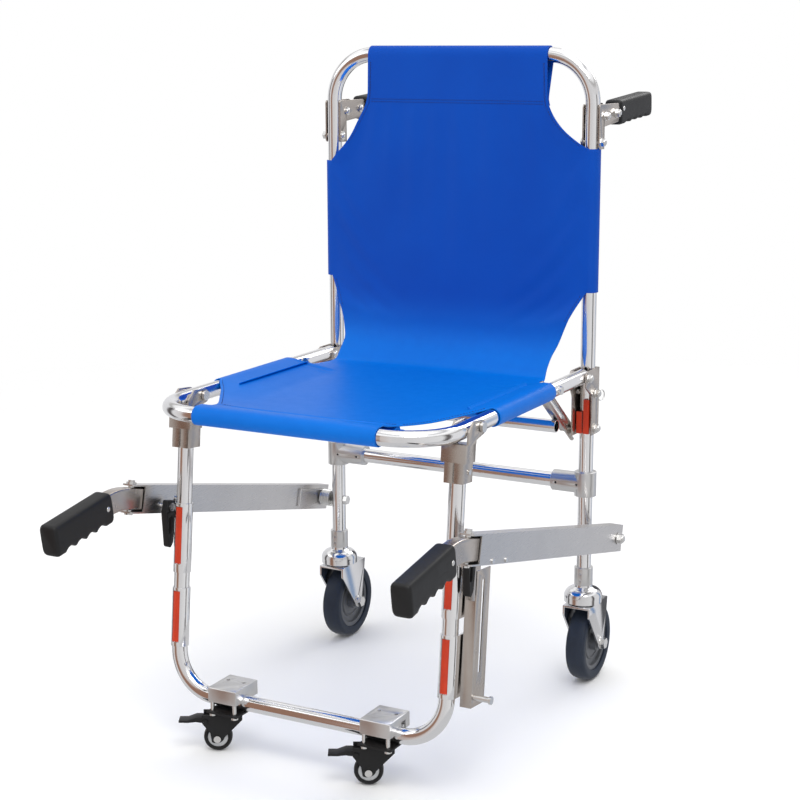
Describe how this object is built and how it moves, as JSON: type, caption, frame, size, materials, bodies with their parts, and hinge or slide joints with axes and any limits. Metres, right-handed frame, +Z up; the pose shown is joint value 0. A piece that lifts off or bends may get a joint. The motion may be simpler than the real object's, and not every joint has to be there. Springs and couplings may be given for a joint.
{
  "type": "stair chair",
  "caption": "Folding stair chair: tubular frame with blue slung covers, carrying beams with folding grips, big rear and small front swivel casters.",
  "frame": {"origin": "middle of the chair on the floor, under the centre line of the two back posts", "axes": "+Z up, +X to the sitter's left, +Y to the rear, so the seat points along -Y"},
  "size_m": [0.5534, 0.8941, 0.9635],
  "materials": {
    "polished_tube": "mirror polished",
    "satin_alloy": "machined and satin",
    "nickel_plate": "bright nickel plate",
    "chrome_plate": "bright chrome",
    "zinc_steel": "zinc plated",
    "black_plastic": "moulded, matte",
    "red_plastic": "moulded, semi gloss",
    "blue_cover": "coated cloth, soft sheen",
    "blue_tyre": "dark blue-black rubber",
    "grey_hub": "moulded grey",
    "white_rim": "pale moulded rim"
  },
  "bodies": {
    "back_frame": {"back_tube": "polished_tube", "cross_tube_fittings": "satin_alloy", "rear_cross_tube": "polished_tube", "seat_hinge_brackets": "nickel_plate", "frame_bolts": "zinc_steel", "hinge_wear_strips": "red_plastic", "rear_handle_brackets": "nickel_plate", "caster_sleeves": "satin_alloy", "rear_caster_heads": "chrome_plate", "beam_pivot_bolts": "zinc_steel", "back_cover": "blue_cover"},
    "seat": {"seat_tube": "polished_tube", "seat_bolts": "zinc_steel", "seat_cover": "blue_cover"},
    "lock": {"lock_braces": "nickel_plate", "lock_bar": "polished_tube"},
    "legs": {"leg_tube": "polished_tube", "leg_brackets": "nickel_plate", "leg_clamps": "nickel_plate", "leg_wear_strips": "red_plastic", "leg_channel": "nickel_plate", "stow_pin": "zinc_steel", "leg_rivets": "zinc_steel", "caster_blocks": "satin_alloy", "caster_bolts": "zinc_steel", "caster_plates": "black_plastic"},
    "beam_left": {"beam_left": "satin_alloy", "beam_fittings_left": "zinc_steel", "beam_spring_left": "zinc_steel"},
    "front_handle_left": {"front_handle_arm_left": "nickel_plate", "front_grip_left": "black_plastic"},
    "latch_left": {"latch_lever_left": "black_plastic"},
    "rear_handle_left": {"rear_handle_arm_left": "nickel_plate", "rear_grip_left": "black_plastic"},
    "rear_swivel_left": {"rear_fork_left": "chrome_plate", "rear_axle_left": "zinc_steel"},
    "rear_wheel_left": {"rear_hub_left": "grey_hub", "rear_tyre_left": "blue_tyre"},
    "front_swivel_left": {"front_fork_left": "black_plastic", "front_axle_left": "zinc_steel"},
    "front_wheel_left": {"front_hub_left": "white_rim", "front_tyre_left": "black_plastic"},
    "pedal_left": {"brake_pedal_left": "black_plastic"},
    "beam_right": {"beam_right": "satin_alloy", "beam_fittings_right": "zinc_steel", "beam_spring_right": "zinc_steel"},
    "front_handle_right": {"front_handle_arm_right": "nickel_plate", "front_grip_right": "black_plastic"},
    "latch_right": {"latch_lever_right": "black_plastic"},
    "rear_handle_right": {"rear_handle_arm_right": "nickel_plate", "rear_grip_right": "black_plastic"},
    "rear_swivel_right": {"rear_fork_right": "chrome_plate", "rear_axle_right": "zinc_steel"},
    "rear_wheel_right": {"rear_hub_right": "grey_hub", "rear_tyre_right": "blue_tyre"},
    "front_swivel_right": {"front_fork_right": "black_plastic", "front_axle_right": "zinc_steel"},
    "front_wheel_right": {"front_hub_right": "white_rim", "front_tyre_right": "black_plastic"},
    "pedal_right": {"brake_pedal_right": "black_plastic"}
  },
  "joints": [
    {"name": "seat_fold", "type": "hinge", "parent": "back_frame", "child": "seat", "pos_m": [0, -0.03, 0.485], "axis": [-1, 0, 0], "range_deg": [0, 80]},
    {"name": "leg_fold", "type": "hinge", "parent": "seat", "child": "legs", "pos_m": [0, -0.394, 0.486], "axis": [-1, 0, 0], "range_deg": [-86, 0]},
    {"name": "lock_fold", "type": "hinge", "parent": "seat", "child": "lock", "pos_m": [0, -0.13, 0.485], "axis": [-1, 0, 0], "range_deg": [-36, 0]},
    {"name": "beam_lift_left", "type": "hinge", "parent": "back_frame", "child": "beam_left", "pos_m": [-0.258, 0, 0.2385], "axis": [-1, 0, 0], "range_deg": [0, 65]},
    {"name": "front_handle_fold_left", "type": "hinge", "parent": "beam_left", "child": "front_handle_left", "pos_m": [-0.258, -0.49673, 0.35409], "axis": [0, -0.2267, -0.974], "range_deg": [-90, 0]},
    {"name": "latch_release_left", "type": "hinge", "parent": "beam_left", "child": "latch_left", "pos_m": [-0.245, -0.43935, 0.3315], "axis": [-1, 0, 0], "range_deg": [0, 18], "stiffness_Nm_per_rad": 0.3, "springref_deg": -5.73},
    {"name": "rear_handle_fold_left", "type": "hinge", "parent": "back_frame", "child": "rear_handle_left", "pos_m": [-0.215, 0.058, 0.866], "axis": [-1, 0, 0], "range_deg": [0, 90]},
    {"name": "rear_swivel_turn_left", "type": "hinge", "parent": "back_frame", "child": "rear_swivel_left", "pos_m": [-0.215, 0, 0.13], "axis": [0, 0, 1], "continuous": true},
    {"name": "rear_wheel_spin_left", "type": "hinge", "parent": "rear_swivel_left", "child": "rear_wheel_left", "pos_m": [-0.215, 0.025, 0.06], "axis": [1, 0, 0], "continuous": true},
    {"name": "front_swivel_turn_left", "type": "hinge", "parent": "legs", "child": "front_swivel_left", "pos_m": [-0.1205, -0.46238, 0.05], "axis": [0, 0, 1], "continuous": true},
    {"name": "front_wheel_spin_left", "type": "hinge", "parent": "front_swivel_left", "child": "front_wheel_left", "pos_m": [-0.13816, -0.47177, 0.02], "axis": [0.4695, -0.8829, 0], "continuous": true},
    {"name": "brake_press_left", "type": "hinge", "parent": "front_swivel_left", "child": "pedal_left", "pos_m": [-0.15273, -0.47951, 0.045], "axis": [0.4695, -0.8829, 0], "range_deg": [0, 12]},
    {"name": "beam_lift_right", "type": "hinge", "parent": "back_frame", "child": "beam_right", "pos_m": [0.258, 0, 0.2385], "axis": [-1, 0, 0], "range_deg": [0, 65]},
    {"name": "front_handle_fold_right", "type": "hinge", "parent": "beam_right", "child": "front_handle_right", "pos_m": [0.258, -0.49673, 0.35409], "axis": [0, 0.2267, 0.974], "range_deg": [-90, 0]},
    {"name": "latch_release_right", "type": "hinge", "parent": "beam_right", "child": "latch_right", "pos_m": [0.245, -0.43935, 0.3315], "axis": [-1, 0, 0], "range_deg": [0, 18], "stiffness_Nm_per_rad": 0.3, "springref_deg": -5.73},
    {"name": "rear_handle_fold_right", "type": "hinge", "parent": "back_frame", "child": "rear_handle_right", "pos_m": [0.215, 0.058, 0.866], "axis": [-1, 0, 0], "range_deg": [0, 90]},
    {"name": "rear_swivel_turn_right", "type": "hinge", "parent": "back_frame", "child": "rear_swivel_right", "pos_m": [0.215, 0, 0.13], "axis": [0, 0, 1], "continuous": true},
    {"name": "rear_wheel_spin_right", "type": "hinge", "parent": "rear_swivel_right", "child": "rear_wheel_right", "pos_m": [0.215, 0.025, 0.06], "axis": [1, 0, 0], "continuous": true},
    {"name": "front_swivel_turn_right", "type": "hinge", "parent": "legs", "child": "front_swivel_right", "pos_m": [0.1205, -0.46238, 0.05], "axis": [0, 0, 1], "continuous": true},
    {"name": "front_wheel_spin_right", "type": "hinge", "parent": "front_swivel_right", "child": "front_wheel_right", "pos_m": [0.10284, -0.47177, 0.02], "axis": [0.4695, -0.8829, 0], "continuous": true},
    {"name": "brake_press_right", "type": "hinge", "parent": "front_swivel_right", "child": "pedal_right", "pos_m": [0.08827, -0.47951, 0.045], "axis": [0.4695, -0.8829, 0], "range_deg": [0, 12]}
  ],
  "couplings": [
    {"joint": "leg_fold", "follows": "seat_fold", "ratio": -1.0649},
    {"joint": "lock_fold", "follows": "seat_fold", "ratio": -0.44},
    {"joint": "beam_lift_left", "follows": "seat_fold", "ratio": 0.808},
    {"joint": "beam_lift_right", "follows": "seat_fold", "ratio": 0.808}
  ]
}
